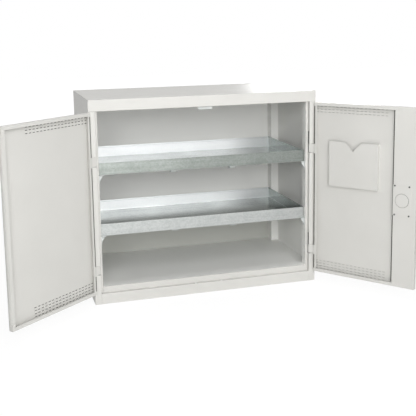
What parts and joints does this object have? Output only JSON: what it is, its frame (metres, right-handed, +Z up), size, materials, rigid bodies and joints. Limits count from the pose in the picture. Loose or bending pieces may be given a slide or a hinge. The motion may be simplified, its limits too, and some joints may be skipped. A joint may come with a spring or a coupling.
{
  "type": "perforated door cupboard",
  "caption": "Low steel cupboard with two perforated swing doors, galvanised tray shelves, a document pocket and a quarter turn rod lock.",
  "frame": {"origin": "On the floor, in the middle of the carcass front face", "axes": "+X to the right seen from the front, +Y to the rear, +Z up"},
  "size_m": [1.7399, 0.9264, 0.91],
  "materials": {
    "powder_coat": "light grey fine powder coat",
    "galvanised_steel": "galvanised sheet with a faint spangle",
    "zinc_plated_steel": "bright zinc plate",
    "handle_finish": "light grey smooth coating",
    "chromed_zinc": "chromed die cast zinc"
  },
  "bodies": {
    "carcass": {"top_panel": "powder_coat", "left_side_panel": "powder_coat", "right_side_panel": "powder_coat", "left_post": "powder_coat", "right_post": "powder_coat", "back_panel": "powder_coat", "floor_panel": "powder_coat", "plinth": "powder_coat", "left_rear_upright": "powder_coat", "right_rear_upright": "powder_coat", "top_stop_clip": "zinc_plated_steel", "left_lower_hinge_bracket": "zinc_plated_steel", "left_upper_hinge_bracket": "zinc_plated_steel", "right_lower_hinge_bracket": "zinc_plated_steel", "right_upper_hinge_bracket": "zinc_plated_steel", "hinge_pins": "zinc_plated_steel", "upper_tray": "galvanised_steel", "lower_tray": "galvanised_steel", "upper_tray_stiffeners": "galvanised_steel", "lower_tray_stiffeners": "galvanised_steel", "upper_tray_clips": "galvanised_steel", "lower_tray_clips": "galvanised_steel"},
    "left_door": {"left_door_panel": "powder_coat", "left_door_frame": "powder_coat", "closing_strip": "powder_coat", "left_lower_hinge_leaf": "powder_coat", "left_upper_hinge_leaf": "powder_coat"},
    "right_door": {"right_door_panel": "powder_coat", "right_door_frame": "powder_coat", "lock_channel": "powder_coat", "lock_plate": "powder_coat", "lock_cover_disc": "powder_coat", "lock_plate_screws": "zinc_plated_steel", "rod_guides": "zinc_plated_steel", "document_pocket": "powder_coat", "handle_escutcheon": "handle_finish", "right_lower_hinge_leaf": "powder_coat", "right_upper_hinge_leaf": "powder_coat"},
    "handle": {"turn_handle": "handle_finish", "drive_disc": "zinc_plated_steel"},
    "key_cylinder": {"lock_cylinder": "chromed_zinc"},
    "top_rod": {"top_rod": "zinc_plated_steel"},
    "bottom_rod": {"bottom_rod": "zinc_plated_steel"}
  },
  "joints": [
    {"name": "left_door_hinge", "type": "hinge", "parent": "carcass", "child": "left_door", "pos_m": [-0.5115, 0.0095, 0], "axis": [0, 0, 1], "range_deg": [-5, 140]},
    {"name": "right_door_hinge", "type": "hinge", "parent": "carcass", "child": "right_door", "pos_m": [0.5115, 0.0095, 0], "axis": [0, 0, 1], "range_deg": [-128, 17]},
    {"name": "handle_turn", "type": "hinge", "parent": "right_door", "child": "handle", "pos_m": [0.79603, -0.33926, 0.445], "axis": [-0.788, -0.6157, 0], "range_deg": [0, 90]},
    {"name": "key_turn", "type": "hinge", "parent": "right_door", "child": "key_cylinder", "pos_m": [0.79603, -0.33926, 0.493], "axis": [0.788, 0.6157, 0], "range_deg": [0, 90]},
    {"name": "top_rod_slide", "type": "slide", "parent": "right_door", "child": "top_rod", "axis": [0, 0, 1], "range_m": [0, 0.01698]},
    {"name": "bottom_rod_slide", "type": "slide", "parent": "right_door", "child": "bottom_rod", "axis": [0, 0, -1], "range_m": [0, 0.01698]}
  ],
  "couplings": [
    {"joint": "top_rod_slide", "follows": "handle_turn", "m_per_rad": 0.010804},
    {"joint": "bottom_rod_slide", "follows": "handle_turn", "m_per_rad": 0.010804}
  ]
}
